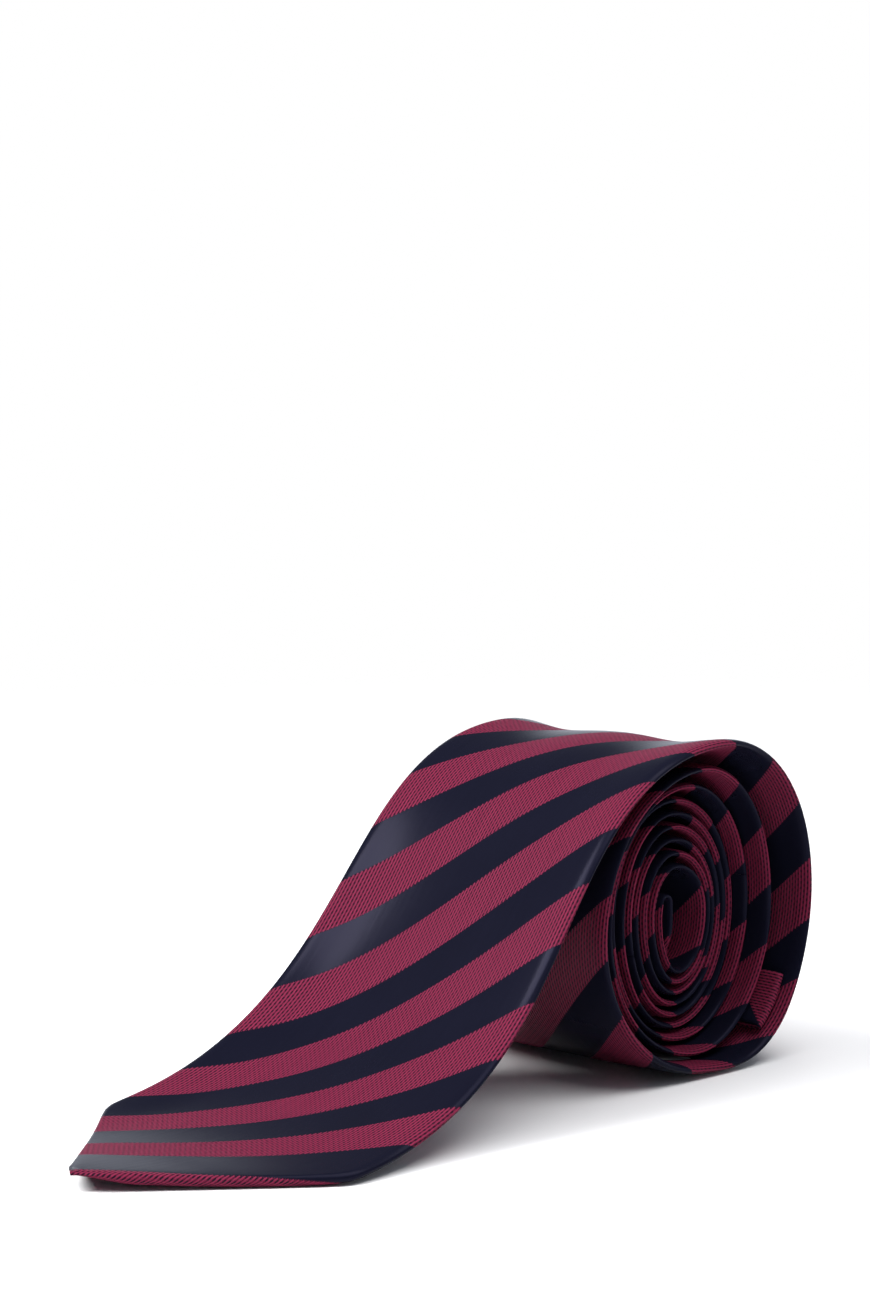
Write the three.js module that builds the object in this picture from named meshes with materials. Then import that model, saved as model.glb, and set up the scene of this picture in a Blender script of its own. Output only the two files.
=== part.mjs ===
// A necktie, rolled up from its narrow tail, with the wide blade let down from the top of the roll.
// Frame: millimetres, +Z up. The roll's axis runs along Y and the blade's point lies towards -X. The origin
// is under the middle of the whole tie, on the surface that the tie rests on.
import * as THREE from 'three';

// Widths across the tie.
const BLADE_WIDTH = 75;
const NECK_WIDTH = 37;
const TAIL_WIDTH = 40;
const BLADE_TAPER = 0.0556; // width lost for each millimetre of length, from the blade's corners to the neck
const TAIL_FLARE = 0.012; // width gained for each millimetre of length, up to the tail's corners
const POINT_SLOPE = 1.09; // length of a point for each millimetre of half width
const POINT_BLUNT = 1.6; // half width at the very end of a point

// Cloth, measured through the tie from the face to the back.
const SHELL_CLOTH = 0.35;
const INTERLINING_CLOTH = 0.7;
const TIPPING_CLOTH = 0.25;
const PLY_EASE = 0.15; // between two plies that lie on each other
const BLADE_LOFT = 0.3; // air that the soft folds hold in the blade
const BACK_SLIT = 1.0; // between the two back flaps, along the middle of the back
const THREAD = 0.4;

// Places along the tie, in millimetres from the blade's point, or back from the tail's point.
const LOFT_ENDS = [330, 430]; // the blade thins from its full thickness to the neck's
const BLADE_SEAM_AT = 610;
const TAIL_SEAM_AT = 960;
const PANEL_GAP = 1.0;
const BLADE_TACK_AT = 95;
const INTERLINING_AT = 5;
const BLADE_TIPPING = [6, 90];
const KEEPER_AT = 245;
const CARE_LABEL_AT = 288;
const INTERLINING_BACK = 78; // the interlining stops short of the tail's point
const TAIL_THINS = [75, 55]; // back from the tail's point, past the interlining
const TAIL_TACK_BACK = 88;
const TAIL_TIPPING_BACK = [50, 6];

// Small pieces.
const TACK = { across: 8, along: 1.5, clearance: 0.3 };
const KEEPER = { across: 44, along: 12, height: 3.0, wall: 0.5 };
const CARE_LABEL = { across: 24, along: 18, cloth: 0.2 };

// The free blade: flat on the surface, then an S-shaped rise to the top of the roll.
const FLAT_LENGTH = 27;
const RISE_RUN = 128.3; // from where the blade leaves the surface to the roll's axis
const RISE_PULL = [83, 56]; // handles of the S-curve at its foot and at its head
const RISE_STEPS = 16;

// The roll: quarter ellipses that shrink inwards. For each side, the reach of its innermost pass from the
// roll's axis, the ease between one turn and the next, the slack of the outermost turn, the number of turns
// over which that slack fades, and the turn at which the innermost pass crosses that side. The keeper lies
// between the right side and the bottom, and the outermost turn makes room for it there.
const KEEPER_ROOM = 1.7 * KEEPER.height;
const SIDES = {
  top: { reach: 11.4, ease: 1.2, slack: 4.3, fade: 3.3, last: 8 },
  right: { reach: 9.6, ease: 0.35, slack: KEEPER_ROOM + 2.7, fade: 1.5, last: 8.25 },
  bottom: { reach: 13.5, ease: 0.8, slack: KEEPER_ROOM - 2.85, fade: 1.5, last: 8.5 },
  left: { reach: 6.7, ease: 0.44, slack: 16.5, fade: 4.25, last: 8.75 },
};
const STEPS_PER_TURN = 24;
const ROLL_STEPS = 211; // a little past the left side, on the ninth turn

// The tail's end, folded back on itself inside the roll and then following the inner wall.
const HAIRPIN_LEAD = 1.2;
const HAIRPIN_RADIUS = 2.1;
const TAIL_BEND_DROP = 5.6; // the bend's centre, below the roll's axis
const TAIL_BEND_RADIUS = 3.4;
const TAIL_RISE = 9;
const BEND_STEP = THREE.MathUtils.degToRad(15);

// Thicknesses of the whole tie, face to back.
const bodyThickness = 2 * SHELL_CLOTH + INTERLINING_CLOTH + 2 * PLY_EASE;
const bladeThickness = bodyThickness + TIPPING_CLOTH + PLY_EASE + BLADE_LOFT;
const tailThickness = 2 * SHELL_CLOTH + TIPPING_CLOTH + 2 * PLY_EASE;

// How far the outer surface of the roll lies from its axis on one side, after a number of turns.
function reach(side, turns) {
  const { reach: inner, ease, slack, fade, last } = SIDES[side];
  const loose = Math.max(0, 1 - turns / fade);
  return inner + (bodyThickness + ease) * (last - turns) + slack * loose * loose;
}

const axisHeight = reach('bottom', 0.5);

function rollPoint(turns) {
  const angle = 2 * Math.PI * turns;
  const across = Math.sin(angle);
  const up = Math.cos(angle);
  return new THREE.Vector2(
    across * reach(across > 0 ? 'right' : 'left', turns),
    axisHeight + up * reach(up > 0 ? 'top' : 'bottom', turns),
  );
}

// The line that the face of the tie follows, seen along Y, from the blade's point to the tail's point.
function faceLine() {
  const flatHeight = bladeThickness;
  const foot = new THREE.Vector2(-RISE_RUN, flatHeight);
  const head = rollPoint(0);
  const rise = new THREE.CubicBezierCurve(
    foot,
    foot.clone().add(new THREE.Vector2(RISE_PULL[0], 0)),
    head.clone().sub(new THREE.Vector2(RISE_PULL[1], 0)),
    head,
  );
  const line = [new THREE.Vector2(foot.x - FLAT_LENGTH, flatHeight), ...rise.getSpacedPoints(RISE_STEPS)];
  for (let step = 1; step <= ROLL_STEPS; step++) {
    line.push(rollPoint(step / STEPS_PER_TURN));
  }
  const before = line[line.length - 2];
  const end = line[line.length - 1];
  let heading = end.clone().sub(before).angle();
  let at = end.clone();
  const walk = (length) => {
    at = at.clone().add(new THREE.Vector2(Math.cos(heading), Math.sin(heading)).multiplyScalar(length));
    line.push(at);
  };
  const bend = (radius, angle) => {
    const steps = Math.ceil(Math.abs(angle) / BEND_STEP);
    const turn = angle / steps;
    for (let step = 0; step < steps; step++) {
      heading += turn / 2;
      walk(2 * radius * Math.sin(Math.abs(turn) / 2));
      heading += turn / 2;
    }
  };
  walk(HAIRPIN_LEAD);
  bend(HAIRPIN_RADIUS, -(Math.PI / 2 + heading));
  walk(at.y - axisHeight + TAIL_BEND_DROP);
  bend(TAIL_BEND_RADIUS, Math.PI);
  walk(TAIL_RISE / 2);
  walk(TAIL_RISE / 2);
  return line;
}

// Stations along that line: the distance from the blade's point, the place, and the direction to the back.
function stationsOf(line) {
  const stations = [];
  let distance = 0;
  line.forEach((place, index) => {
    const before = line[Math.max(0, index - 1)];
    const after = line[Math.min(line.length - 1, index + 1)];
    const arriving = (index > 0 ? place.clone().sub(before) : after.clone().sub(place)).normalize();
    const leaving = (index < line.length - 1 ? after.clone().sub(place) : arriving).clone().normalize();
    if (index > 0) distance += place.distanceTo(before);
    const along = arriving.clone().add(leaving).normalize();
    const mitre = 1 / along.dot(leaving);
    const back = new THREE.Vector2(along.y, -along.x).multiplyScalar(mitre);
    stations.push({ distance, place, back });
  });
  return stations;
}

const stations = stationsOf(faceLine());
const tieLength = stations[stations.length - 1].distance;
const reaches = stations.map((station) => station.place.x);
const middle = (Math.min(...reaches) + Math.max(...reaches)) / 2;

function stationAt(distance) {
  const next = Math.max(1, stations.findIndex((station) => station.distance >= distance - 1e-9));
  const a = stations[next - 1];
  const b = stations[next];
  const share = (distance - a.distance) / (b.distance - a.distance);
  return { place: a.place.clone().lerp(b.place, share), back: a.back.clone().lerp(b.back, share) };
}

// Length of a point: from its blunt end to the corners where the sides begin.
function pointLength(width) {
  return POINT_SLOPE * (width / 2 - POINT_BLUNT);
}

const bladeCorners = pointLength(BLADE_WIDTH);
const tailCorners = tieLength - pointLength(TAIL_WIDTH);

// Half the tie's width, and its thickness, at a distance from the blade's point.
function halfWidth(distance) {
  const blade = BLADE_WIDTH - BLADE_TAPER * Math.max(0, distance - bladeCorners);
  const tail = TAIL_WIDTH - TAIL_FLARE * Math.max(0, tailCorners - distance);
  const toNearerEnd = Math.min(distance, tieLength - distance);
  return Math.min(Math.max(NECK_WIDTH, blade, tail) / 2, POINT_BLUNT + toNearerEnd / POINT_SLOPE);
}

function thickness(distance) {
  const { mapLinear, clamp } = THREE.MathUtils;
  const remaining = tieLength - distance;
  const loft = clamp(mapLinear(distance, LOFT_ENDS[0], LOFT_ENDS[1], 1, 0), 0, 1);
  const tail = clamp(mapLinear(remaining, TAIL_THINS[0], TAIL_THINS[1], 0, 1), 0, 1);
  return bodyThickness + loft * (bladeThickness - bodyThickness) - tail * (bodyThickness - tailThickness);
}

// A section is drawn at the blade's full width and thickness: its first coordinate runs across the tie and
// its second from the face to the back. Along the tie its edges stay with the folds and its back plies with
// the back. A piece of its own width keeps that width.
const FACE_PLIES = SHELL_CLOTH + 1.5 * PLY_EASE + INTERLINING_CLOTH;

function place(across, depth, distance, ownWidth) {
  const { place: at, back } = stationAt(distance);
  const inset = BLADE_WIDTH / 2 - halfWidth(distance);
  const rides = !ownWidth && Math.abs(across) > BLADE_WIDTH / 4;
  const y = rides ? across - Math.sign(across) * inset : across;
  const n = depth > FACE_PLIES ? depth - bladeThickness + thickness(distance) : depth;
  return new THREE.Vector3(at.x + back.x * n - middle, -y, at.y + back.y * n);
}

const RING_SPACING = 0.3; // rings nearer to each other than this are one

// The section carried along the tie from one distance to another, with a ring at each station between.
function alongTie(section, from, to, ownWidth = false) {
  const between = [...stations.map((station) => station.distance), bladeCorners, tailCorners]
    .filter((distance) => distance > from + RING_SPACING && distance < to - RING_SPACING)
    .sort((a, b) => a - b)
    .filter((distance, index, all) => index === 0 || distance - all[index - 1] > RING_SPACING);
  const rings = [from, ...between, to];
  const steps = rings.length - 1;
  const geometry = new THREE.ExtrudeGeometry(section, { depth: steps, steps, bevelEnabled: false });
  const position = geometry.getAttribute('position');
  for (let i = 0; i < position.count; i++) {
    const distance = rings[Math.round(position.getZ(i))];
    const { x, y, z } = place(position.getX(i), position.getY(i), distance, ownWidth);
    position.setXYZ(i, x, y, z);
  }
  geometry.computeVertexNormals();
  return geometry;
}

function outline(points) {
  return new THREE.Shape(points.map(([across, depth]) => new THREE.Vector2(across, depth)));
}

function strip(halfAcross, top, bottom) {
  return outline([[-halfAcross, top], [halfAcross, top], [halfAcross, bottom], [-halfAcross, bottom]]);
}

// The shell: one cloth, its face, its two side folds and the two flaps that meet at the middle of the back.
function shellSection() {
  const edge = BLADE_WIDTH / 2;
  const slit = BACK_SLIT / 2;
  const c = SHELL_CLOTH;
  const t = bladeThickness;
  return outline([
    [-edge, 0], [edge, 0], [edge, t], [slit, t], [slit, t - c], [edge - c, t - c],
    [edge - c, c], [-edge + c, c], [-edge + c, t - c], [-slit, t - c], [-slit, t], [-edge, t],
  ]);
}

const innerEdge = BLADE_WIDTH / 2 - SHELL_CLOTH - PLY_EASE;
const backPly = bladeThickness - SHELL_CLOTH - PLY_EASE;

function shellPanel(from, to) {
  return alongTie(shellSection(), from, to);
}

function interlining() {
  const top = SHELL_CLOTH + PLY_EASE;
  return alongTie(strip(innerEdge, top, top + INTERLINING_CLOTH), INTERLINING_AT, tieLength - INTERLINING_BACK);
}

function tipping(from, to) {
  return alongTie(strip(innerEdge, backPly - TIPPING_CLOTH, backPly), from, to);
}

// The slip stitch that closes the back, lying in the slit between the flaps.
function slipStitch() {
  const under = bladeThickness - SHELL_CLOTH;
  const section = strip(THREAD / 2, under, under + SHELL_CLOTH);
  return alongTie(section, BLADE_TACK_AT + 2 * TACK.along, tieLength - TAIL_TACK_BACK - 2 * TACK.along, true);
}

// A bar tack: a short bar of thread across the slit, where the slip stitch ends.
function barTack(at) {
  const top = bladeThickness + TACK.clearance;
  return alongTie(strip(TACK.across / 2, top, top + THREAD), at, at + TACK.along, true);
}

// The row of stitches that joins two shell panels, seen end to end in the gap between them.
function panelSeam(at) {
  const half = THREAD / 2;
  return alongTie(strip(innerEdge, 0, SHELL_CLOTH), at - half, at + half);
}

// The keeper: a flattened ring of the shell's cloth on the back of the blade, which holds the tail.
function keeperLoop() {
  const { across, along, height, wall } = KEEPER;
  const corner = height / 3;
  const low = bladeThickness + PLY_EASE;
  const ring = (inset) => {
    const x = across / 2 - inset;
    const x2 = x - corner;
    const y1 = low + inset;
    const y2 = low + height - inset;
    const round = corner - inset / 2;
    return [[-x2, y1], [x2, y1], [x, y1 + round], [x, y2 - round], [x2, y2], [-x2, y2], [-x, y2 - round], [-x, y1 + round]];
  };
  const section = outline(ring(0));
  section.holes.push(new THREE.Path(ring(wall).map(([a, d]) => new THREE.Vector2(a, d))));
  return alongTie(section, KEEPER_AT, KEEPER_AT + along, true);
}

// The few stitches that hold the keeper's lower wall to the back seam, inside the ring.
function keeperTack() {
  const top = bladeThickness + PLY_EASE + KEEPER.wall + TACK.clearance;
  const from = KEEPER_AT + (KEEPER.along - TACK.along) / 2;
  return alongTie(strip(TACK.across / 2, top, top + THREAD), from, from + TACK.along, true);
}

// The plain fibre label, held by one end in the back seam.
function careLabel() {
  const { across, along, cloth } = CARE_LABEL;
  const top = bladeThickness + PLY_EASE;
  const section = outline([[0, top], [across, top], [across, top + cloth], [0, top + cloth]]);
  return alongTie(section, CARE_LABEL_AT, CARE_LABEL_AT + along, true);
}

const finishes = {
  silk: new THREE.MeshStandardMaterial({ color: 0x6b1d36, roughness: 0.55, metalness: 0 }),
  neckSilk: new THREE.MeshStandardMaterial({ color: 0x1b1e38, roughness: 0.4, metalness: 0 }),
  wool: new THREE.MeshStandardMaterial({ color: 0xe2dccb, roughness: 0.95, metalness: 0 }),
  lining: new THREE.MeshStandardMaterial({ color: 0x20233f, roughness: 0.45, metalness: 0 }),
  thread: new THREE.MeshStandardMaterial({ color: 0x23213a, roughness: 0.6, metalness: 0 }),
  label: new THREE.MeshStandardMaterial({ color: 0xe9e7e1, roughness: 0.7, metalness: 0 }),
};

const tie = new THREE.Group();

function add(name, geometry, finish) {
  const mesh = new THREE.Mesh(geometry, finish);
  mesh.name = name;
  tie.add(mesh);
}

const halfGap = PANEL_GAP / 2;
add('blade_shell', shellPanel(0, BLADE_SEAM_AT - halfGap), finishes.silk);
add('neck_shell', shellPanel(BLADE_SEAM_AT + halfGap, TAIL_SEAM_AT - halfGap), finishes.neckSilk);
add('tail_shell', shellPanel(TAIL_SEAM_AT + halfGap, tieLength), finishes.silk);
add('blade_seam_thread', panelSeam(BLADE_SEAM_AT), finishes.thread);
add('tail_seam_thread', panelSeam(TAIL_SEAM_AT), finishes.thread);
add('interlining', interlining(), finishes.wool);
add('blade_tipping', tipping(BLADE_TIPPING[0], BLADE_TIPPING[1]), finishes.lining);
add('tail_tipping', tipping(tieLength - TAIL_TIPPING_BACK[0], tieLength - TAIL_TIPPING_BACK[1]), finishes.lining);
add('slip_stitch_thread', slipStitch(), finishes.thread);
add('blade_bar_tack', barTack(BLADE_TACK_AT), finishes.thread);
add('tail_bar_tack', barTack(tieLength - TAIL_TACK_BACK), finishes.thread);
add('keeper_loop', keeperLoop(), finishes.silk);
add('keeper_tack_thread', keeperTack(), finishes.thread);
add('care_label', careLabel(), finishes.label);

export default tie;
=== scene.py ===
"""Necktie, rolled: its silk, lining, stitches and finishes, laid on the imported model.

Metres, +Z up. The roll's axis runs along Y and the blade's point lies towards -X.
"""
import math

import bmesh
import bpy
import numpy as np
from bpy.props import FloatProperty, FloatVectorProperty, IntProperty, PointerProperty
from bpy.types import Operator, Panel, PropertyGroup
from mathutils import Matrix, Vector


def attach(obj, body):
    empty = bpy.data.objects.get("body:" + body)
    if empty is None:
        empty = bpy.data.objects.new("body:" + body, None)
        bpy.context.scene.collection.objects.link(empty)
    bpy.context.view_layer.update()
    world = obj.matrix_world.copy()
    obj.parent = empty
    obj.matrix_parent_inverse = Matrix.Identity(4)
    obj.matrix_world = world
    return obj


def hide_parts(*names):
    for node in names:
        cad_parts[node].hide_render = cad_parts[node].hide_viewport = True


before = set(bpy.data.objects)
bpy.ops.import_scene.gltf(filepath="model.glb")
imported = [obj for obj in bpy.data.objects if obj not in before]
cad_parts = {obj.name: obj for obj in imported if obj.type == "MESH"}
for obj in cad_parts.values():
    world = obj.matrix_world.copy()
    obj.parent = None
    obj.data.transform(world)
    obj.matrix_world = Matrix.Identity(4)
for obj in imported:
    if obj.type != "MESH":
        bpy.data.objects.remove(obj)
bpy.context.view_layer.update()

bl_info = {
    "name": "Rolled Necktie",
    "version": (1, 0, 0),
    "blender": (4, 5, 0),
    "location": "View3D > Sidebar > Necktie",
    "description": "Builds the silk, lining, stitches and finishes of a rolled necktie",
    "category": "Add Mesh",
}

MM = 0.001
BODY = "root"

# Where the soft cloth stands off the line it follows, in millimetres: along, across, reach along, reach
# across, height.
SWELLS = (
    (104, 13, 29, 17, -3.0),
    (86, 38, 44, 6, 2.5),
    (130, -35, 28, 10, 2.2),
    (46, -8, 24, 22, -0.6),
    (196, 17, 24, 8, -1.3),
    (196, -16, 24, 8, -1.2),
    (192, 36, 22, 6, 0.8),
    (198, -34, 20, 6, 1.2),
    (268, -32, 11, 26, 1.7),
    (287, -34, 7, 14, -0.9),
)

# How the tie is cut and folded.
POINT_REACH = 60 * MM  # each point lies within this distance of its end
CORNER_BLEND = 1.2 * MM  # rounding of a point's two corners
LOFT_END = 330 * MM  # the blade's soft loft starts to fade here
LOFT_FADE = 100 * MM
TAIL_THIN_END = 75 * MM  # the interlining has ended this far back from the tail's point
TAIL_THIN_FADE = 20 * MM
SEAM_GAP = 0.25 * MM  # half the gap between the closed back flaps
BLADE_SLIT_SLOPE = 0.27
TAIL_SLIT_SLOPE = 0.24
FLAP_HEM = 11 * MM  # a back flap never gets narrower than this
EDGE_DROP = 0.16 * MM  # how far the face sinks before it turns into a fold
PANEL_GAP = 0.02 * MM  # from a panel seam to the cloth on each side of it
KEEPER_ROOM = 1.7  # room beside the keeper for each unit of its height
ROLL_END = 1.2 * MM  # straight between the roll and the tail's fold

# How the free blade lies on the floor.
CROWN = 1.1 * MM
CROWN_FADE = (45 * MM, 120 * MM)
NOSE_LIFT = 0.7 * MM
NOSE_FADE = 22 * MM
FLOOR_CLEAR = 0.02 * MM


# ---------------------------------------------------------------------------------------------------------
# Sizes and colours that a user would change
# ---------------------------------------------------------------------------------------------------------
def length(name, default, description):
    """A size in millimetres as a property in metres."""
    return FloatProperty(
        name=name, description=description, default=default * MM,
        unit="LENGTH", subtype="DISTANCE", precision=5,
    )


def ratio(name, default, description):
    """A plain number."""
    return FloatProperty(name=name, description=description, default=default)


def colour(name, default, description):
    """A linear colour."""
    return FloatVectorProperty(
        name=name, description=description, default=default, subtype="COLOR", size=3, min=0, max=1
    )


class NecktieSizes(PropertyGroup):
    """Widths and thicknesses of the tie."""

    blade_width: length("Blade width", 75, "Across the blade at its corners")
    neck_width: length("Neck width", 37, "Across the narrowest part")
    tail_width: length("Tail width", 40, "Across the tail at its corners")
    blade_taper: ratio("Blade taper", 0.0556, "Width lost for each unit of length above the blade's corners")
    tail_flare: ratio("Tail flare", 0.012, "Width gained for each unit of length towards the tail's corners")
    point_slope: ratio("Point slope", 1.09, "Length of a point for each unit of half width")
    point_blunt: length("Point blunt", 1.6, "Half width at the end of a point")
    point_nose: length("Point nose", 2.6, "Length over which a point's end is rounded")
    silk: length("Silk", 0.35, "Thickness of the shell's cloth")
    wool: length("Interlining", 0.7, "Thickness of the interlining")
    lining: length("Lining", 0.25, "Thickness of the tipping")
    ease: length("Ply ease", 0.15, "Room between two plies that lie on each other")
    loft: length("Blade loft", 0.3, "Air that the soft folds hold in the blade")
    fold_reach: length("Fold reach", 1.15, "How far a fold reaches in from the tie's edge")
    blade_fold: length("Blade fold", 2.2, "How much further the blade's soft folds reach in")
    blade_seam: length("Blade seam", 610, "From the blade's point to the first panel seam")
    tail_seam: length("Tail seam", 960, "From the blade's point to the second panel seam")
    blade_slit: length("Blade opening", 90, "From the blade's point to where the back flaps meet")
    tail_slit: length("Tail opening", 50, "Back from the tail's point to where the back flaps meet")


class NecktieLie(PropertyGroup):
    """How the tie lies: the free blade, its rise and the roll."""

    flat_length: length("Flat length", 27, "Of the blade that lies on the surface")
    rise_run: length("Rise run", 128.3, "From where the blade leaves the surface to the roll's axis")
    rise_foot: length("Foot pull", 83, "Handle of the S-curve at its foot")
    rise_head: length("Head pull", 56, "Handle of the S-curve at its head")
    keeper_height: length("Keeper height", 3.0, "Room that the keeper takes behind the blade")
    turns: ratio("Turns", 211 / 24, "Turns of the roll")
    hairpin: length("Hairpin", 2.1, "Radius of the tail's fold inside the roll")
    tail_bend: length("Tail bend", 3.4, "Radius of the tail's last bend")
    tail_drop: length("Tail drop", 5.6, "Last bend's centre below the roll's axis")
    tail_rise: length("Tail rise", 9, "Length of the tail past its last bend")
    ring_steps: IntProperty(
        name="Ring steps", description="Sections in each turn of the roll", default=84, min=24,
    )


class NecktieColours(PropertyGroup):
    """The silk's colours, stripes and weave."""

    navy: colour("Navy", (0.0045, 0.0047, 0.0105), "Satin stripe")
    burgundy: colour("Burgundy", (0.085, 0.0085, 0.0255), "Twill stripe")
    # A lighter colour painted on the rib tops: a painted highlight in place of the sheen that light puts on
    # them.
    rib_painted_highlight: colour("Rib painted highlight", (0.208, 0.0205, 0.054), "Top of a rib in the burgundy stripe")
    stripe_start: length("Stripe start", 20.56, "Along the middle, to the first burgundy stripe")
    point_stripe: length("Point stripe", 18.2, "Navy at the blade's point, before the first stripe")
    burgundy_stripe: length("Burgundy stripe", 14.708, "Along the middle")
    navy_stripe: length("Navy stripe", 14.274, "Along the middle")
    stripe_slant: ratio("Stripe slant", 0.9486, "Shift along the tie for each unit across it")
    rib_pitch: length("Rib pitch", 0.76, "Between two ribs of the twill")
    dash_pitch: length("Dash pitch", 1.35, "Between two dark binding points along a gap")


# ---------------------------------------------------------------------------------------------------------
# The line that the tie follows, and places on it
# ---------------------------------------------------------------------------------------------------------
def ramp(value, start, end):
    """0 before start, 1 after end, smooth between."""
    share = np.clip((value - start) / (end - start), 0, 1)
    return share * share * (3 - 2 * share)


class Side:
    """One side of the roll: how far the face lies from the axis there, after a number of turns.

    The reach is that of the last turn. Each turn outside it adds the cloth and the ease between two turns,
    and the outer turns add slack, which has faded after so many turns. The lengths are in millimetres.
    """

    def __init__(self, reach, ease, slack, fade, last):
        self.reach, self.ease, self.slack, self.fade, self.last = reach, ease, slack, fade, last

    def at(self, turns, cloth):
        loose = np.maximum(0, 1 - turns / self.fade)
        reach = self.reach * MM + (cloth + self.ease * MM) * (self.last - turns)
        return reach + self.slack * MM * loose * loose


class TieLine:
    """Where each point of the tie lies, from its distance along, its place across and its depth."""

    def __init__(self, sizes, lie):
        self.sizes, self.lie = sizes, lie
        self.body = 2 * sizes.silk + sizes.wool + 2 * sizes.ease
        self.blade = self.body + sizes.lining + sizes.ease + sizes.loft
        self.tail = 2 * sizes.silk + sizes.lining + 2 * sizes.ease
        room = KEEPER_ROOM * lie.keeper_height / MM
        self.top = Side(reach=11.4, ease=1.2, slack=4.3, fade=3.3, last=8)
        self.right = Side(reach=9.6, ease=0.35, slack=room + 2.7, fade=1.5, last=8.25)
        self.bottom = Side(reach=13.5, ease=0.8, slack=room - 2.85, fade=1.5, last=8.5)
        self.left = Side(reach=6.7, ease=0.44, slack=16.5, fade=4.25, last=8.75)
        self.axis = float(self.bottom.at(0.5, self.body))
        self.points = self.face_line()
        steps = np.linalg.norm(np.diff(self.points, axis=0), axis=1)
        self.along = np.concatenate([[0], np.cumsum(steps)])
        self.length = float(self.along[-1])
        heading = np.gradient(self.points, self.along, axis=0)
        heading /= np.linalg.norm(heading, axis=1)[:, None]
        self.back = np.stack([heading[:, 1], -heading[:, 0]], axis=1)
        self.middle = (self.points[:, 0].min() + self.points[:, 0].max()) / 2

    def roll(self, turns):
        """Points on the roll's spiral after each number of turns from its top."""
        angle = 2 * np.pi * turns
        across, up = np.sin(angle), np.cos(angle)
        sideways = np.where(across > 0, self.right.at(turns, self.body), self.left.at(turns, self.body))
        upright = np.where(up > 0, self.top.at(turns, self.body), self.bottom.at(turns, self.body))
        return np.stack([across * sideways, self.axis + up * upright], axis=1)

    def face_line(self):
        """The line of the tie's face: flat on the floor, up an S-curve, round the roll and into its core."""
        lie = self.lie
        flat_steps, rise_steps, tail_steps = 18, 90, 6
        foot = np.array([-lie.rise_run, self.blade])
        flat = foot - np.array([1, 0]) * np.linspace(lie.flat_length, 0, flat_steps, endpoint=False)[:, None]
        head = self.roll(np.zeros(1))[0]
        share = np.linspace(0, 1, rise_steps, endpoint=False)[:, None]
        pulls = [foot, foot + [lie.rise_foot, 0], head - [lie.rise_head, 0], head]
        weights = [(1 - share) ** 3, 3 * share * (1 - share) ** 2, 3 * share**2 * (1 - share), share**3]
        rise = sum(weight * pull for weight, pull in zip(weights, pulls))
        roll = self.roll(np.linspace(0, lie.turns, round(lie.turns * lie.ring_steps) + 1))
        line = [*flat, *rise, *roll]
        heading = math.atan2(*(line[-1] - line[-2])[::-1]) % (2 * math.pi)

        def walk(distance):
            line.append(line[-1] + distance * np.array([math.cos(heading), math.sin(heading)]))

        def bend(radius, angle):
            nonlocal heading
            steps = math.ceil(abs(angle) / math.radians(7.5))
            for step in range(steps):
                heading += angle / steps / 2
                walk(2 * radius * math.sin(abs(angle) / steps / 2))
                heading += angle / steps / 2

        walk(ROLL_END)
        bend(lie.hairpin, -(math.pi / 2 + heading))
        drop = line[-1][1] - self.axis + lie.tail_drop
        for step in range(tail_steps):
            walk(drop / tail_steps)
        bend(lie.tail_bend, math.pi)
        for step in range(tail_steps):
            walk(lie.tail_rise / tail_steps)
        return np.array(line)

    def half_width(self, s):
        """Half the tie's width at each distance: tapered sides, and a blunt point at each end."""
        z = self.sizes
        blade_corner = z.point_slope * (z.blade_width / 2 - z.point_blunt)
        tail_corner = self.length - z.point_slope * (z.tail_width / 2 - z.point_blunt)
        blade = z.blade_width - z.blade_taper * np.maximum(0, s - blade_corner)
        tail = z.tail_width - z.tail_flare * np.maximum(0, tail_corner - s)
        near = np.minimum(s, self.length - s)
        sides = np.maximum(z.neck_width, np.maximum(blade, tail)) / 2
        point = z.point_blunt + near / z.point_slope
        blend = -CORNER_BLEND * np.log(np.exp(-sides / CORNER_BLEND) + np.exp(-point / CORNER_BLEND))
        nose = np.sqrt(np.clip(near / z.point_nose, 0, 1))
        return np.where(near < POINT_REACH, blend, sides) * nose

    def thickness(self, s):
        """From the face to the back of the folded tie at each distance."""
        remaining = self.length - s
        loft = 1 - np.clip((s - LOFT_END) / LOFT_FADE, 0, 1)
        thin = np.clip((TAIL_THIN_END - remaining) / TAIL_THIN_FADE, 0, 1)
        return self.body + loft * (self.blade - self.body) - thin * (self.body - self.tail)

    def slit(self, s):
        """Half the gap between the back flaps: closed along the tie, open over the tipping at each end."""
        z = self.sizes
        from_blade = SEAM_GAP + BLADE_SLIT_SLOPE * np.maximum(0, z.blade_slit - s)
        from_tail = SEAM_GAP + TAIL_SLIT_SLOPE * np.maximum(0, s - (self.length - z.tail_slit))
        hem = np.maximum(SEAM_GAP, self.half_width(s) - FLAP_HEM)
        return np.minimum(np.maximum(from_blade, from_tail), hem)

    def settle(self, s, y, height):
        """Height over the floor, with the free blade's crown and lifted point, and never below the floor."""
        half = self.sizes.blade_width / 2
        foot = 1 - ramp(s, *CROWN_FADE)
        crown = CROWN * foot * (1 - (y / half) ** 2)
        nose = NOSE_LIFT * (1 - ramp(s, 0, NOSE_FADE))
        return np.maximum(height + crown + nose, FLOOR_CLEAR)

    def swell(self, s, y):
        """How far the cloth stands off its line there."""
        off = 0.0
        for along, across, reach_along, reach_across, height in np.array(SWELLS) * MM:
            apart = ((s - along) / reach_along) ** 2 + ((y - across) / reach_across) ** 2
            off = off + height * np.exp(-apart / 2)
        return off

    def stations(self, start, end):
        """The line's own points between two distances, clear of both."""
        clear = 0.3 * MM
        return self.along[(self.along > start + clear) & (self.along < end - clear)]

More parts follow.
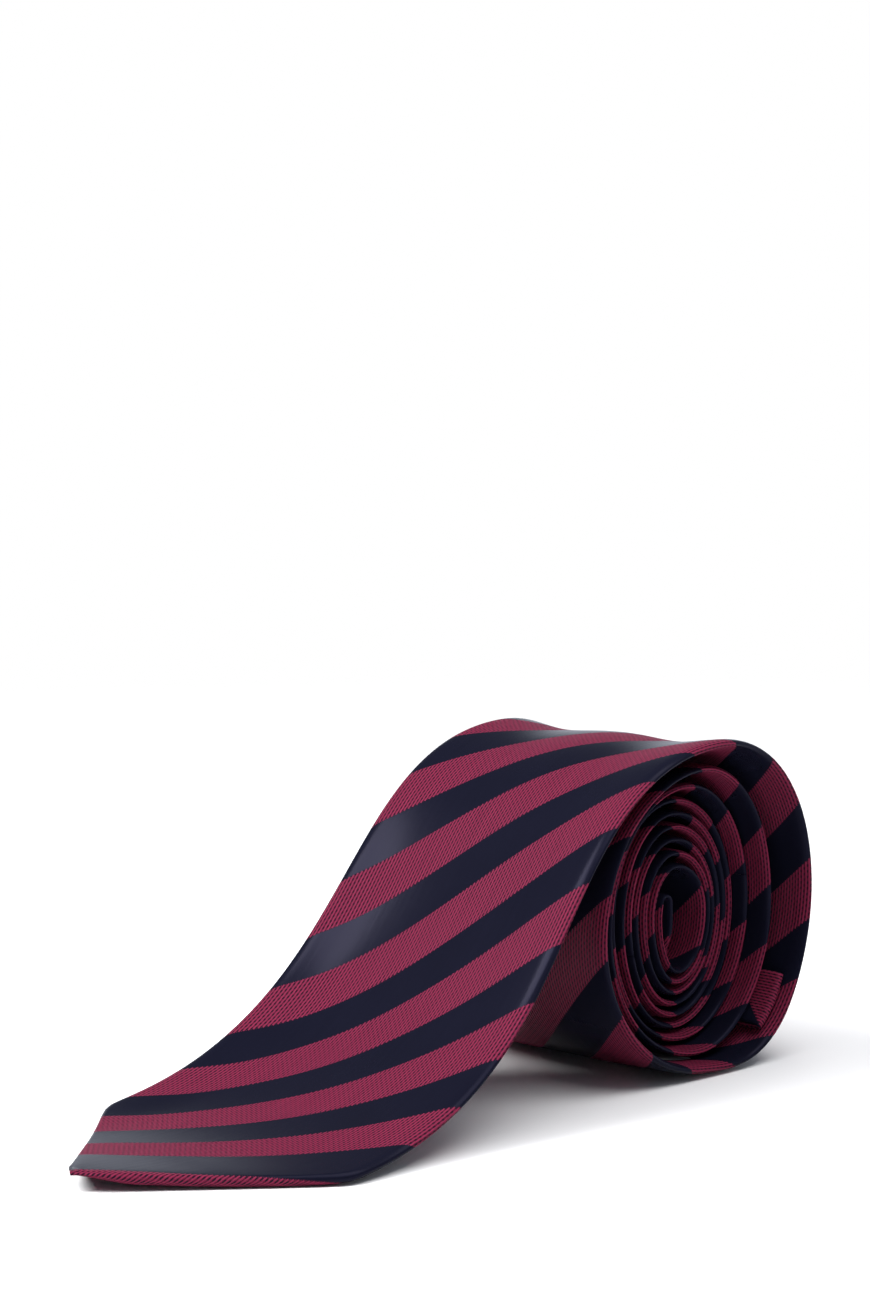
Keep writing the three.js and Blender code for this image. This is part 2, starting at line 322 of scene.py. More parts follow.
    def place(self, s, y, depth):
        """Points at distance s along, y across (away from the near end) and depth behind the face."""
        s, y, depth = np.broadcast_arrays(s, y, depth - self.swell(s, y))
        columns = (*self.points.T, *self.back.T)
        x, z, back_x, back_z = (np.interp(s, self.along, column) for column in columns)
        height = self.settle(s, y, z + back_z * depth)
        return np.stack([x + back_x * depth - self.middle, y, height], axis=-1)


# ---------------------------------------------------------------------------------------------------------
# Meshes
# ---------------------------------------------------------------------------------------------------------
def finished(name, mesh, material, node):
    """Links a finished mesh, gives it its finish and makes it ride on the tie's body."""
    piece = bpy.data.objects.new(name, mesh)
    bpy.context.scene.collection.objects.link(piece)
    mesh.materials.append(material)
    mesh.polygons.foreach_set("use_smooth", [True] * len(mesh.polygons))
    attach(piece, BODY)
    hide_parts(node)
    return piece


def cloth_grid(name, points, flat, around=False, capped=False):
    """A mesh laid on an array of points (rows along, columns across), with its flat pattern as a UV map.

    Around joins the first and last rows or columns where they meet, and capped fills the open ends.
    """
    rows, columns = points.shape[:2]
    bm = bmesh.new()
    bmesh.ops.create_grid(bm, x_segments=rows - 1, y_segments=columns - 1, size=1)
    uv = bm.loops.layers.uv.new("Cloth")
    where = {}
    for vertex in bm.verts:
        row = round((vertex.co.x + 1) / 2 * (rows - 1))
        column = round((vertex.co.y + 1) / 2 * (columns - 1))
        where[vertex] = (row, column)
    for face in bm.faces:
        for loop in face.loops:
            loop[uv].uv = flat[where[loop.vert]]
    for vertex, (row, column) in where.items():
        vertex.co = points[row, column]
    if around:
        bmesh.ops.remove_doubles(bm, verts=bm.verts[:], dist=1e-7)
    if capped:
        rims = [edge for edge in bm.edges if edge.is_boundary]
        bmesh.ops.holes_fill(bm, edges=rims, sides=0)
    mesh = bpy.data.meshes.new(name)
    bm.to_mesh(mesh)
    bm.free()
    return mesh


def cloth_thickness(piece, thickness, offset=-1.0):
    """Gives a cloth its thickness: behind its mesh, or on both sides of it with an offset of 0."""
    wall = piece.modifiers.new("Cloth", "SOLIDIFY")
    wall.thickness = thickness
    wall.offset = offset
    wall.use_even_offset = False
    wall.use_rim = True


def shell_section(tie, s, face_steps=13, fold_steps=14, flap_steps=14):
    """The shell's outer surface across the tie at each distance: place across, depth and unfolded place."""
    half = tie.half_width(s)[:, None]
    thick = tie.thickness(s)[:, None]
    near_end = np.minimum(s, tie.length - s)[:, None]
    thick = thick * (0.35 + 0.65 * ramp(near_end, 0, 9 * MM))
    body_share = (thick - tie.tail) / (tie.blade - tie.tail)
    soft = np.clip(body_share, 0, 1) * ramp(near_end, 15 * MM, 75 * MM)
    reach = np.minimum(tie.sizes.fold_reach + soft * tie.sizes.blade_fold, 0.62 * half)
    flat = half - reach
    slit = np.minimum(tie.slit(s)[:, None], 0.9 * flat)
    turn = np.linspace(0, np.pi, fold_steps + 1)[None, 1:]
    flap = np.linspace(0, 1, flap_steps + 1)[None, 1:]
    face = np.linspace(0, 1, face_steps + 1)[None, :] * flat
    y = np.concatenate([face, flat + reach * np.sin(turn), flat + (slit - flat) * flap], axis=1)
    drop = EDGE_DROP * np.clip(face / np.maximum(flat, 1e-9), 0, 1) ** 6
    fold = thick / 2 - (thick / 2 - EDGE_DROP * (1 - turn / np.pi)) * np.cos(turn)
    depth = np.concatenate([drop, fold, thick + 0 * flap], axis=1)
    step = np.hypot(np.diff(y, axis=1), np.diff(depth, axis=1))
    unfolded = np.concatenate([np.zeros_like(half), np.cumsum(step, axis=1)], axis=1)

    def both(values, sign):
        return np.concatenate([sign * values[:, :0:-1], values], axis=1)

    return both(y, -1), both(depth, 1), both(unfolded, -1)


def shell_panel(tie, name, start, end, material, node):
    """One panel of the shell from one seam, or a point, to the next, with its flat size and area."""
    inner = tie.stations(start, end)
    tips = np.array([0.02, 0.12, 0.3, 0.6, 1.0, 1.5]) * MM
    extra = np.concatenate([tips, tie.length - tips, start + tips[1:3], end - tips[1:3]])
    extra = extra[(extra > start) & (extra < end)]
    s = np.unique(np.concatenate([[start], inner, extra, [end]]))
    y, depth, unfolded = shell_section(tie, s)
    tuck_depth, tuck_reach = 0.22 * MM, 0.9 * MM
    from_seam = np.full(len(s), 1.0)
    for seam in (start, end):
        if 0 < seam < tie.length:
            from_seam = np.minimum(from_seam, 0.25 + np.abs(s - seam) / tuck_reach)
    inward = np.sign(tie.thickness(s)[:, None] / 2 - depth)
    tuck = tuck_depth * (1 - np.clip(from_seam, 0, 1))[:, None] * inward
    points = tie.place(s[:, None], y, depth + tuck)
    flat = np.stack([np.broadcast_to(s[:, None], y.shape), unfolded], axis=-1)
    mesh = cloth_grid(name, points, flat)
    piece = finished(name, mesh, material, node)
    cloth_thickness(piece, 0.9 * tie.sizes.silk)
    width = 2 * float(np.abs(unfolded).max())
    area = float((2 * np.abs(unfolded).max(axis=1)[:-1] * np.diff(s)).sum())
    return piece, (width, end - start), area


def strip(tie, name, start, end, depth, cloth, inset, material, node, columns=17):
    """A flat cloth inside the tie: its middle lies at that depth, and its sides stay clear of the folds."""
    s = np.concatenate([[start], tie.stations(start, end), [end]])
    half = np.maximum(tie.half_width(s) - inset, 0.3 * MM)[:, None]
    y = half * np.linspace(-1, 1, columns)[None, :]
    points = tie.place(s[:, None], y, depth(s)[:, None])
    flat = np.stack([np.broadcast_to(s[:, None], y.shape), y], axis=-1)
    mesh = cloth_grid(name, points, flat)
    piece = finished(name, mesh, material, node)
    cloth_thickness(piece, cloth, 0.0)
    area = float((2 * half[:-1, 0] * np.diff(s)).sum())
    return piece, (2 * float(half.max()), end - start), area


def thread_mesh(name, centres, radius, sides=8):
    """A round thread along a line of points, closed at both ends."""
    centres = np.asarray(centres, float)
    heading = np.gradient(centres, axis=0)
    heading /= np.linalg.norm(heading, axis=1)[:, None]
    side = np.cross(heading, np.array([0.0, 1.0, 0.0]) + 0.001)
    flat_across = np.linalg.norm(side, axis=1) < 0.3
    side[flat_across] = np.cross(heading[flat_across], [0.0, 0.0, 1.0])
    side /= np.linalg.norm(side, axis=1)[:, None]
    other = np.cross(heading, side)
    angle = np.linspace(0, 2 * np.pi, sides + 1)
    radii = np.broadcast_to(radius, len(centres))
    ring = np.cos(angle)[None, :, None] * side[:, None] + np.sin(angle)[None, :, None] * other[:, None]
    points = centres[:, None] + radii[:, None, None] * ring
    points[:, -1] = points[:, 0]
    run = np.concatenate([[0], np.cumsum(np.linalg.norm(np.diff(centres, axis=0), axis=1))])
    flat = np.stack(np.broadcast_arrays(run[:, None], angle[None] * np.max(radius)), axis=-1)
    return cloth_grid(name, points, flat, around=True, capped=True)


def outward(mesh):
    """Turns a closed mesh's faces outward."""
    bm = bmesh.new()
    bm.from_mesh(mesh)
    bmesh.ops.recalc_face_normals(bm, faces=bm.faces[:])
    bm.to_mesh(mesh)
    bm.free()
    return mesh


# ---------------------------------------------------------------------------------------------------------
# Finishes
# ---------------------------------------------------------------------------------------------------------
class Wiring:
    """Short hand for wiring one node tree."""

    def __init__(self, tree):
        self.tree = tree

    def node(self, kind, **settings):
        made = self.tree.nodes.new(kind)
        for name, value in settings.items():
            setattr(made, name, value)
        return made

    def feed(self, socket, value):
        if isinstance(value, bpy.types.NodeSocket):
            self.tree.links.new(value, socket)
        else:
            socket.default_value = value

    def feed_all(self, sockets, values):
        for socket, value in zip(sockets, values):
            self.feed(socket, value)

    def math(self, operation, *values, clamp=False):
        made = self.node("ShaderNodeMath", operation=operation, use_clamp=clamp)
        self.feed_all(made.inputs, values)
        return made.outputs[0]

    def mix(self, factor, a, b):
        made = self.node("ShaderNodeMix", data_type="RGBA")
        self.feed_all((made.inputs[0], made.inputs[6], made.inputs[7]), (factor, a, b))
        return made.outputs[2]

    def smooth(self, value, low, high):
        made = self.node("ShaderNodeMapRange", interpolation_type="SMOOTHSTEP")
        self.feed_all(made.inputs, (value, low, high, 0.0, 1.0))
        return made.outputs[0]

    def noise(self, vector, scale, detail, roughness):
        made = self.node("ShaderNodeTexNoise")
        given = {"Vector": vector, "Scale": scale, "Detail": detail, "Roughness": roughness}
        self.feed_all([made.inputs[name] for name in given], given.values())
        return made.outputs[0]

    def combine(self, x, y):
        made = self.node("ShaderNodeCombineXYZ")
        self.feed_all(made.inputs, (x, y, 0.0))
        return made.outputs[0]

    def group(self, tree, **values):
        made = self.node("ShaderNodeGroup", node_tree=tree)
        for name, value in values.items():
            self.feed(made.inputs[name], value)
        return made.outputs


def effect(name, inputs, outputs):
    """An empty node group with number inputs and outputs, and its wiring."""
    tree = bpy.data.node_groups.new(name, "ShaderNodeTree")
    for item in inputs:
        tree.interface.new_socket(item, in_out="INPUT", socket_type="NodeSocketFloat")
    for item in outputs:
        tree.interface.new_socket(item, in_out="OUTPUT", socket_type="NodeSocketFloat")
    wires = Wiring(tree)
    return tree, wires, wires.node("NodeGroupInput").outputs, wires.node("NodeGroupOutput").inputs


def stripe_effect():
    """Slanted stripes of two widths, with edges that step from rib to rib and a wider stripe at the point."""
    names = ["Along", "Across", "Start", "Point", "Burgundy", "Navy", "Slant", "Step"]
    tree, w, given, out = effect("Regimental stripes", names, ["Burgundy mask"])
    steps = w.math("ROUND", w.math("DIVIDE", given["Across"], given["Step"]))
    stepped = w.math("MULTIPLY", steps, given["Step"])
    shifted = w.math("ADD", given["Along"], w.math("MULTIPLY", stepped, given["Slant"]))
    period = w.math("ADD", given["Burgundy"], given["Navy"])
    past = w.math("SUBTRACT", shifted, given["Start"])
    phase = w.math("FLOORED_MODULO", past, period)
    half_point = w.math("DIVIDE", given["Point"], 2.0)
    from_point = w.math("ABSOLUTE", w.math("ADD", past, half_point))
    off_point = w.math("GREATER_THAN", from_point, half_point)
    burgundy = w.math("LESS_THAN", phase, given["Burgundy"])
    w.feed(out["Burgundy mask"], w.math("MULTIPLY", burgundy, off_point))
    return tree


def twill_effect():
    """Ribs along the cloth as a ridge profile, which the silk uses for relief and for a painted highlight on
    the rib tops, and short binding points in brick order in the gaps between them.
    """
    names = ["Along", "Across", "Pitch", "Repeat"]
    tree, w, given, out = effect("Ribbed twill", names, ["Ridge", "Dash"])
    row = w.math("DIVIDE", given["Across"], given["Pitch"])
    gap = w.math("ROUND", row)
    aside = w.math("ABSOLUTE", w.math("SUBTRACT", row, gap))
    pick = w.math("ADD", w.math("DIVIDE", given["Along"], given["Repeat"]), w.math("MULTIPLY", gap, 0.5))
    centred = w.math("ABSOLUTE", w.math("SUBTRACT", w.math("FRACT", pick), 0.5))
    w.feed(out["Ridge"], w.math("SINE", w.math("MULTIPLY", aside, math.pi)))
    w.feed(out["Dash"], w.math("MULTIPLY", w.smooth(centred, 0.3, 0.16), w.smooth(aside, 0.34, 0.16)))
    return tree


def weave_effect():
    """Plain weave: warp and weft crossing at a pitch."""
    tree, w, given, out = effect("Plain weave", ["Along", "Across", "Pitch"], ["Height"])
    along = w.math("MULTIPLY", w.math("DIVIDE", given["Along"], given["Pitch"]), math.pi)
    across = w.math("MULTIPLY", w.math("DIVIDE", given["Across"], given["Pitch"]), math.pi)
    product = w.math("MULTIPLY", w.math("SINE", along), w.math("SINE", across))
    w.feed(out["Height"], w.math("ADD", w.math("MULTIPLY", product, 0.5), 0.5))
    return tree


def new_material(name):
    """A material with a Principled surface and its cloth's pattern: along, across and both as a vector."""
    material = bpy.data.materials.new(name)
    material.use_nodes = True
    tree = material.node_tree
    tree.nodes.clear()
    w = Wiring(tree)
    surface = w.node("ShaderNodeBsdfPrincipled")
    output = w.node("ShaderNodeOutputMaterial")
    tree.links.new(surface.outputs[0], output.inputs[0])
    pattern = w.node("ShaderNodeUVMap", uv_map="Cloth").outputs[0]
    split = w.node("ShaderNodeSeparateXYZ")
    w.feed(split.inputs[0], pattern)
    return material, w, surface.inputs, split.outputs[0], split.outputs[1], pattern


def relief(w, height, distance, strength):
    """The normal of a surface raised by a height of 0 to 1 times the distance."""
    bump = w.node("ShaderNodeBump")
    bump.inputs["Strength"].default_value = strength
    bump.inputs["Distance"].default_value = distance
    w.feed(bump.inputs["Height"], height)
    return bump.outputs[0]


def opaque(rgb, share=1.0):
    """A colour, or a darker or lighter share of it, for a colour socket."""
    return (*(share * value for value in rgb), 1.0)


def striped_silk(colours, name, shift, point_stripe):
    """Satin navy and ribbed burgundy stripes woven in one cloth."""
    material, w, surface, along, across, pattern = new_material(name)
    groups = effects()
    stripes = w.group(
        groups["stripes"], Along=along, Across=across, Start=colours.stripe_start + shift,
        Point=point_stripe, Burgundy=colours.burgundy_stripe, Navy=colours.navy_stripe,
        Slant=colours.stripe_slant, Step=colours.rib_pitch / 2,
    )["Burgundy mask"]
    twill = w.group(
        groups["twill"], Along=along, Across=across, Pitch=colours.rib_pitch, Repeat=colours.dash_pitch
    )
    # The share of the burgundy left in the gaps between ribs is painted shade.
    rib_sharpness, hollow_painted_shade, binding, sheen = 1.3, 0.62, 0.85, 1.5
    satin_roughness, added_roughness = 0.21, 0.23
    navy, burgundy = opaque(colours.navy), opaque(colours.burgundy)
    ridge = w.math("POWER", twill["Ridge"], rib_sharpness)
    stretched = w.combine(w.math("MULTIPLY", along, 40.0), w.math("MULTIPLY", across, 900.0))
    thread_tone = w.noise(stretched, 1.0, 3.0, 0.6)
    cloth_tone = w.noise(pattern, 60.0, 2.0, 0.5)
    uneven = w.math("MULTIPLY", w.math("SUBTRACT", thread_tone, 0.35), 0.9, clamp=True)
    # Painted highlight and shade: rib tops take the lighter rib colour and the gaps between ribs a darker
    # share of the burgundy. The navy binding dashes are the weave's own colour.
    ribs = w.mix(ridge, opaque(colours.burgundy, hollow_painted_shade), opaque(colours.rib_painted_highlight))
    ribs = w.mix(uneven, ribs, burgundy)
    ribs = w.mix(w.math("MULTIPLY", twill["Dash"], binding), ribs, navy)
    shine = w.math("MULTIPLY", w.math("ADD", thread_tone, cloth_tone), 0.5)
    satin = w.mix(shine, navy, opaque(colours.navy, sheen))
    w.feed(surface["Base Color"], w.mix(stripes, satin, ribs))
    rough = w.math("ADD", satin_roughness, w.math("MULTIPLY", stripes, added_roughness))
    w.feed(surface["Roughness"], w.math("ADD", rough, w.math("MULTIPLY", cloth_tone, 0.06)))
    rib_height = w.math("SUBTRACT", ridge, w.math("MULTIPLY", twill["Dash"], 0.6))
    satin_height = w.math("MULTIPLY", thread_tone, 0.22)
    height = w.math("ADD", w.math("MULTIPLY", stripes, rib_height), satin_height)
    w.feed(surface["Normal"], relief(w, height, 0.12 * MM, 1.0))
    surface["Specular IOR Level"].default_value = 0.047
    surface["Specular Tint"].default_value = (0.62, 0.58, 1.0, 1)
    return material


def plain_cloth(name, dark, light, pitch, roughness, height):
    """A plainly woven cloth: interlining, lining or label tape."""
    material, w, surface, along, across, pattern = new_material(name)
    weave = w.group(effects()["weave"], Along=along, Across=across, Pitch=pitch)["Height"]
    tone = w.noise(pattern, 90.0, 4.0, 0.6)
    shade = w.math("MULTIPLY", w.math("ADD", weave, tone), 0.5)
    w.feed(surface["Base Color"], w.mix(shade, opaque(dark), opaque(light)))
    w.feed(surface["Roughness"], w.math("ADD", roughness, w.math("MULTIPLY", tone, 0.1)))
    w.feed(surface["Normal"], relief(w, weave, height, 0.7))
    surface["Sheen Weight"].default_value = 0.2
    return material


def sewing_thread(name, dark, light):
    """Two-ply thread: twisted along its length."""
    material, w, surface, along, around, _ = new_material(name)
    turns = w.math("ADD", w.math("DIVIDE", along, 0.55 * MM), w.math("DIVIDE", around, 0.6 * MM))
    ply = w.math("ABSOLUTE", w.math("SINE", w.math("MULTIPLY", turns, math.pi)))
    # Painted shade and highlight: the thread is darker in the grooves between its plies and lighter on their
    # tops.
    w.feed(surface["Base Color"], w.mix(ply, opaque(dark), opaque(light)))
    w.feed(surface["Roughness"], w.math("ADD", 0.5, w.math("MULTIPLY", ply, -0.12)))
    w.feed(surface["Normal"], relief(w, ply, 0.05 * MM, 0.8))
    return material


def pale_floor():
    """A pale sweep that fades into the backdrop far from the tie."""
    faded, solid = 0.8, 0.3
    material = bpy.data.materials.new("Pale sweep")
    material.use_nodes = True
    w = Wiring(material.node_tree)
    surface = material.node_tree.nodes["Principled BSDF"].inputs
    where = w.node("ShaderNodeTexCoord").outputs["Object"]
    tone = w.noise(where, 30.0, 2.0, 0.5)
    w.feed(surface["Base Color"], w.mix(tone, (0.93, 0.93, 0.94, 1), (0.96, 0.96, 0.96, 1)))
    away = w.node("ShaderNodeVectorMath", operation="LENGTH")
    w.feed(away.inputs[0], where)
    w.feed(surface["Alpha"], w.smooth(away.outputs["Value"], faded, solid))
    surface["Roughness"].default_value = 0.75
    surface["Specular IOR Level"].default_value = 0.2
    return material


def effects():
    """The shared node groups, made once."""
    makers = {
        "stripes": ("Regimental stripes", stripe_effect),
        "twill": ("Ribbed twill", twill_effect),
        "weave": ("Plain weave", weave_effect),
    }
    return {key: bpy.data.node_groups.get(name) or make() for key, (name, make) in makers.items()}


# ---------------------------------------------------------------------------------------------------------
# Operators
# ---------------------------------------------------------------------------------------------------------
def tie_of(context):
    """The tie's line, from the sizes in the scene."""
    return TieLine(context.scene.necktie_sizes, context.scene.necktie_lie)


class NECKTIE_OT_shell(Operator):
    """Three silk panels, folded round the interlining and closed along the back"""

    bl_idname = "necktie.shell"
    bl_label = "Silk shell"

    def execute(self, context):
        tie, sizes, colours = tie_of(context), context.scene.necktie_sizes, context.scene.necktie_colours
        silk = striped_silk(colours, "Striped silk", 0.0, colours.point_stripe)
        panels = [
            ("blade_silk", 0.0, sizes.blade_seam - PANEL_GAP, "blade_shell"),
            ("neck_silk", sizes.blade_seam + PANEL_GAP, sizes.tail_seam - PANEL_GAP, "neck_shell"),
            ("tail_silk", sizes.tail_seam + PANEL_GAP, tie.length, "tail_shell"),
        ]
        for name, start, end, node in panels:
            piece, flat, area = shell_panel(tie, name, start, end, silk, node)
        return {"FINISHED"}


class NECKTIE_OT_inside(Operator):
    """Interlining and the two tippings, inside the shell"""

    bl_idname = "necktie.inside"
    bl_label = "Interlining and tippings"

    def execute(self, context):
        tie, sizes = tie_of(context), context.scene.necktie_sizes
        wool = plain_cloth(
            "Interlining wool", dark=(0.42, 0.38, 0.29), light=(0.62, 0.58, 0.48),
            pitch=0.55 * MM, roughness=0.85, height=0.15 * MM,
        )
        lining = plain_cloth(
            "Tipping lining", dark=(0.006, 0.008, 0.022), light=(0.018, 0.022, 0.055),
            pitch=0.22 * MM, roughness=0.42, height=0.04 * MM,
        )
        wool_depth = sizes.silk + sizes.ease + sizes.wool / 2

        def under_flaps(s):
            return tie.thickness(s) - sizes.silk - sizes.ease - sizes.lining / 2

        def lay(name, start, end, depth, cloth, inset, finish, node):
            piece, flat, area = strip(tie, name, start, end, depth, cloth, inset, finish, node)

        lay(
            "interlining_wool", 7 * MM, tie.length - 79 * MM, lambda s: np.full_like(s, wool_depth),
            0.9 * sizes.wool, 1.9 * MM, wool, "interlining",
        )
        lay(
            "blade_tipping_lining", 8 * MM, 92 * MM, under_flaps,
            0.8 * sizes.lining, 2.3 * MM, lining, "blade_tipping",
        )
        lay(
            "tail_tipping_lining", tie.length - 52 * MM, tie.length - 8 * MM, under_flaps,
            0.8 * sizes.lining, 1.6 * MM, lining, "tail_tipping",
        )
        return {"FINISHED"}


class NECKTIE_OT_keeper(Operator):
    """Self-fabric keeper loop on the back of the blade"""

    bl_idname = "necktie.keeper"
    bl_label = "Keeper loop"

    def execute(self, context):
        tie, colours = tie_of(context), context.scene.necktie_colours
        silk = striped_silk(colours, "Keeper silk", 7.5 * MM, colours.navy_stripe)
        start, width, half, cloth = 254 * MM, 14.5 * MM, 29.2 * MM, 0.42 * MM
        low = float(tie.thickness(np.array(start))) + 0.15 * MM
        rise = context.scene.necktie_lie.keeper_height
        turn = np.linspace(0, 2 * np.pi, 97)
        path_y = (half - cloth) * np.sign(np.cos(turn)) * np.abs(np.cos(turn)) ** 0.35
        lift = 0.5 * (1 + np.sign(np.sin(turn)) * np.abs(np.sin(turn)) ** 0.5)
        path_n = low + cloth + (rise - 2 * cloth) * lift
        run = np.concatenate([[0], np.cumsum(np.hypot(np.diff(path_y), np.diff(path_n)))])
        band = width * np.linspace(0, 1, 13)
        points = tie.place(start + band[None, :], path_y[:, None], path_n[:, None])
        points[-1] = points[0]
        flat = np.stack(np.broadcast_arrays(run[-1] / 2 - run[:, None], band[None, :]), axis=-1)
        mesh = cloth_grid("keeper_silk", points, flat, around=True)
        piece = finished("keeper_silk", mesh, silk, "keeper_loop")
        cloth_thickness(piece, 2 * cloth * 0.95, 0.0)
        return {"FINISHED"}


class NECKTIE_OT_threads(Operator):
    """Slip stitch, panel seams, bar tacks and the keeper's stitches"""

    bl_idname = "necktie.threads"
    bl_label = "Stitches"

    def execute(self, context):
        tie, sizes = tie_of(context), context.scene.necktie_sizes
        thread = sewing_thread("Sewing thread", dark=(0.008, 0.008, 0.02), light=(0.035, 0.03, 0.06))

        def add(name, centres, radius, node):
            mesh = outward(thread_mesh(name, centres, radius))
            finished(name, mesh, thread, node)

        slip_start, slip_end, slip_pitch = 98 * MM, tie.length - 91 * MM, 9 * MM
        s = np.arange(slip_start, slip_end, 1.0 * MM)
        wave = 0.16 * MM * np.sin(2 * np.pi * s / slip_pitch)
        add("slip_stitches", tie.place(s, wave, tie.thickness(s) - 0.2 * MM), 0.13 * MM, "slip_stitch_thread")
        seams = (
            ("blade_seam_stitches", sizes.blade_seam, "blade_seam_thread"),
            ("tail_seam_stitches", sizes.tail_seam, "tail_seam_thread"),
        )
        seam_inset, tack_half = 2.6 * MM, 4 * MM
        for name, at, node in seams:
            half = float(tie.half_width(np.array(at))) - seam_inset
            y = np.linspace(-half, half, 121)
            sway = 0.05 * MM * np.sin(2 * np.pi * y / (2.4 * MM))
            add(name, tie.place(at + sway, y, 0.3 * MM), 0.12 * MM, node)
        tacks = (
            ("blade_tack", 95.75 * MM, 0.35 * MM, "blade_bar_tack"),
            ("tail_tack", tie.length - 87.25 * MM, 0.35 * MM, "tail_bar_tack"),
            ("keeper_tack", 261 * MM, 1.35 * MM, "keeper_tack_thread"),
        )
        for name, at, above, node in tacks:
            y = np.linspace(-tack_half, tack_half, 161)
            wraps = np.abs(np.sin(2 * np.pi * y / (0.8 * MM)))
            narrowing = np.clip((tack_half - np.abs(y)) / (0.4 * MM), 0.25, 1)
            radius = narrowing * (0.22 * MM + 0.06 * MM * wraps)
            depth = float(tie.thickness(np.array(at))) + above
            add(name, tie.place(np.full_like(y, at), y, depth), radius, node)
        return {"FINISHED"}


class NECKTIE_OT_label(Operator):
    """Plain fibre label, caught in the back seam by one end"""

    bl_idname = "necktie.label"
    bl_label = "Fibre label"

    def execute(self, context):
        tie = tie_of(context)
        tape = plain_cloth(
            "Label tape", dark=(0.03, 0.031, 0.036), light=(0.06, 0.06, 0.066),
            pitch=0.3 * MM, roughness=0.6, height=0.03 * MM,
        )
        s = np.linspace(288.6 * MM, 305.4 * MM, 15)
        across = np.linspace(0.4 * MM, 23.6 * MM, 25)
        depth = tie.thickness(s)[:, None] + 0.25 * MM + 0.05 * MM * np.sin(across / (7 * MM))[None, :]
        points = tie.place(s[:, None], -across[None, ::-1], depth)
        flat = np.stack(np.broadcast_arrays(s[:, None], across[None, ::-1]), axis=-1)
        mesh = cloth_grid("care_label_tape", points, flat)
        piece = finished("care_label_tape", mesh, tape, "care_label")
        cloth_thickness(piece, 0.14 * MM, 0.0)
        return {"FINISHED"}


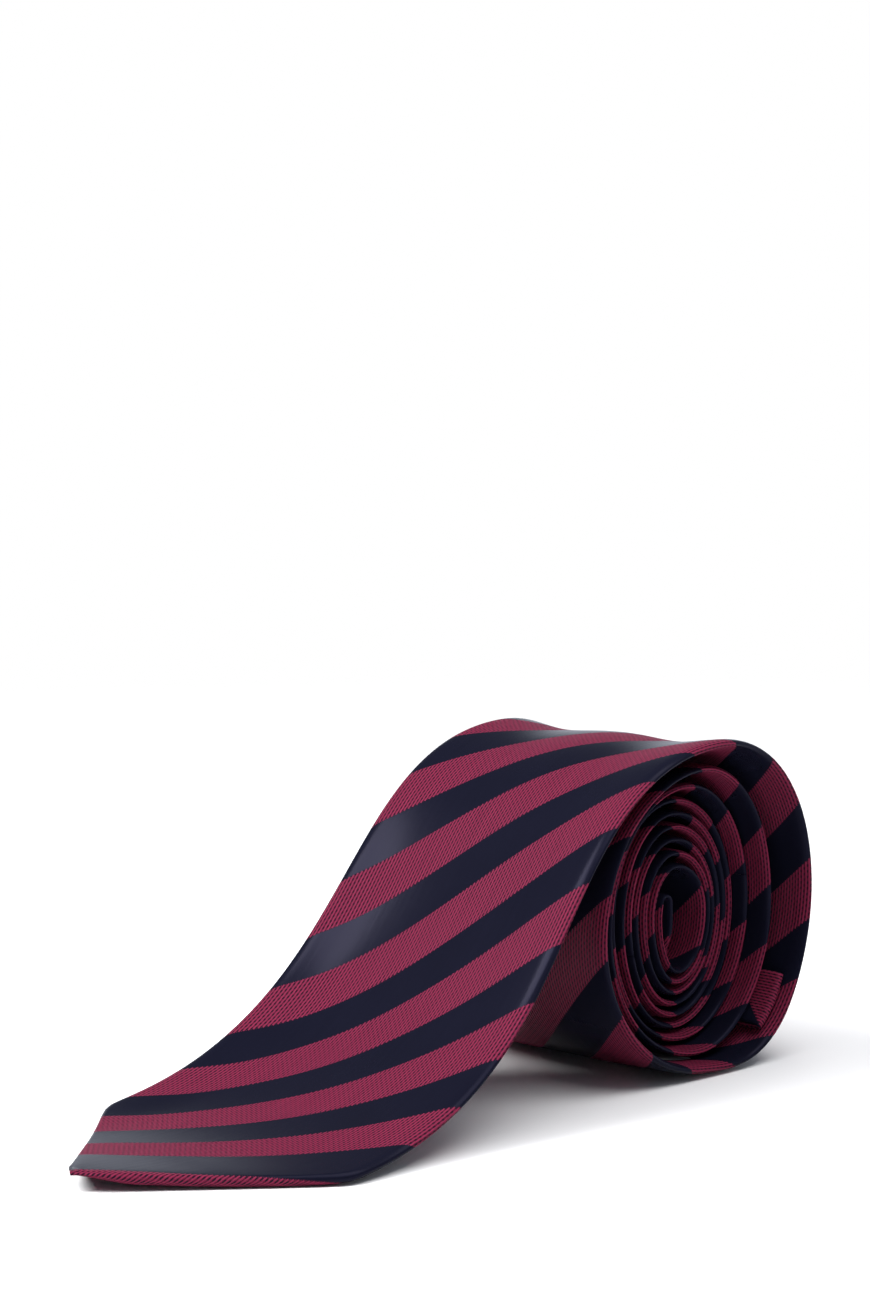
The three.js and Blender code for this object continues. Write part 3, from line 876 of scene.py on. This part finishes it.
class NECKTIE_OT_stage(Operator):
    """Pale floor, soft studio light and the camera"""

    bl_idname = "necktie.stage"
    bl_label = "Stage"

    def execute(self, context):
        scene = context.scene
        bm = bmesh.new()
        bmesh.ops.create_circle(bm, cap_ends=True, segments=96, radius=1.2)
        mesh = bpy.data.meshes.new("floor")
        bm.to_mesh(mesh)
        bm.free()
        mesh.transform(Matrix.Translation((0, 0, -0.05 * MM)))
        mesh.materials.append(pale_floor())
        floor = bpy.data.objects.new("floor", mesh)
        scene.collection.objects.link(floor)
        camera = bpy.data.objects.new("camera", bpy.data.cameras.new("camera"))
        scene.collection.objects.link(camera)
        camera.data.lens = 93.23
        camera.data.clip_start = 0.01
        place = Matrix.Translation((-0.48928, -0.50097, 0.17310))
        for axis, degrees in (("Z", -44.7386), ("X", 90 - 6.268), ("Z", -0.777)):
            place = place @ Matrix.Rotation(math.radians(degrees), 4, axis)
        camera.matrix_world = place
        scene.camera = camera
        self.light(scene, "key", (-0.84, 0.56, 1.08), target=(0.0, 0.0, 0.03), size=0.8, power=32.0)
        self.light(scene, "overhead", (0.08, -0.35, 1.38), target=(0.02, 0.0, 0.0), size=1.2, power=21.0)
        self.backdrop(scene)
        scene.view_settings.view_transform = "Standard"
        return {"FINISHED"}

    @staticmethod
    def light(scene, name, place, target, size, power):
        data = bpy.data.lights.new(name, "AREA")
        data.shape = "SQUARE"
        data.size = size
        data.energy = power
        lamp = bpy.data.objects.new(name, data)
        scene.collection.objects.link(lamp)
        lamp.location = place
        lamp.rotation_euler = (Vector(target) - Vector(place)).to_track_quat("-Z", "Y").to_euler()

    @staticmethod
    def backdrop(scene):
        """White to the camera; to the tie a dim room, brighter low behind it and towards its near side."""
        world = bpy.data.worlds.new("studio")
        world.use_nodes = True
        w = Wiring(world.node_tree)
        tree = world.node_tree
        tree.nodes.clear()
        rays = w.node("ShaderNodeLightPath").outputs
        seen, mirrored = rays["Is Camera Ray"], rays["Is Glossy Ray"]
        split = w.node("ShaderNodeSeparateXYZ")
        w.feed(split.inputs[0], w.node("ShaderNodeTexCoord").outputs["Generated"])
        x, y, z = split.outputs
        behind = w.smooth(w.math("ADD", x, w.math("MULTIPLY", y, 1.4)), -0.2, 0.9)
        low = w.smooth(z, 0.42, 0.1)
        near_side = w.smooth(w.math("SUBTRACT", w.math("MULTIPLY", x, 0.8), y), 0.3, 1.25)
        sweep = w.math("MULTIPLY", w.math("MULTIPLY", behind, low), w.math("ADD", 0.12, mirrored))
        glow = w.math("ADD", w.math("ADD", 0.14, sweep), w.math("MULTIPLY", near_side, 0.5))
        light = w.node("ShaderNodeBackground")
        w.feed(light.inputs[0], w.mix(seen, (0.86, 0.9, 1.0, 1), (1.0, 1.0, 1.0, 1)))
        w.feed(light.inputs[1], w.math("MAXIMUM", glow, seen))
        tree.links.new(light.outputs[0], w.node("ShaderNodeOutputWorld").inputs[0])
        scene.world = world


class NECKTIE_PT_panel(Panel):
    """Lists the pieces of the tie"""

    bl_label = "Necktie"
    bl_idname = "NECKTIE_PT_panel"
    bl_space_type = "VIEW_3D"
    bl_region_type = "UI"
    bl_category = "Necktie"

    def draw(self, context):
        for step in STEPS:
            self.layout.operator(step.bl_idname)
        for name in GROUPS:
            group = getattr(context.scene, name)
            box = self.layout.box()
            for value in group.__annotations__:
                box.prop(group, value)


GROUPS = {"necktie_sizes": NecktieSizes, "necktie_lie": NecktieLie, "necktie_colours": NecktieColours}
STEPS = [
    NECKTIE_OT_stage,
    NECKTIE_OT_shell,
    NECKTIE_OT_inside,
    NECKTIE_OT_keeper,
    NECKTIE_OT_threads,
    NECKTIE_OT_label,
]
CLASSES = [*GROUPS.values(), *STEPS, NECKTIE_PT_panel]


def register():
    for item in CLASSES:
        bpy.utils.register_class(item)
    for name, group in GROUPS.items():
        setattr(bpy.types.Scene, name, PointerProperty(type=group))


def unregister():
    for name in GROUPS:
        delattr(bpy.types.Scene, name)
    for item in reversed(CLASSES):
        bpy.utils.unregister_class(item)


def main():
    register()
    for step in STEPS:
        module, name = step.bl_idname.split(".")
        getattr(getattr(bpy.ops, module), name)()


if __name__ == "__main__":
    main()
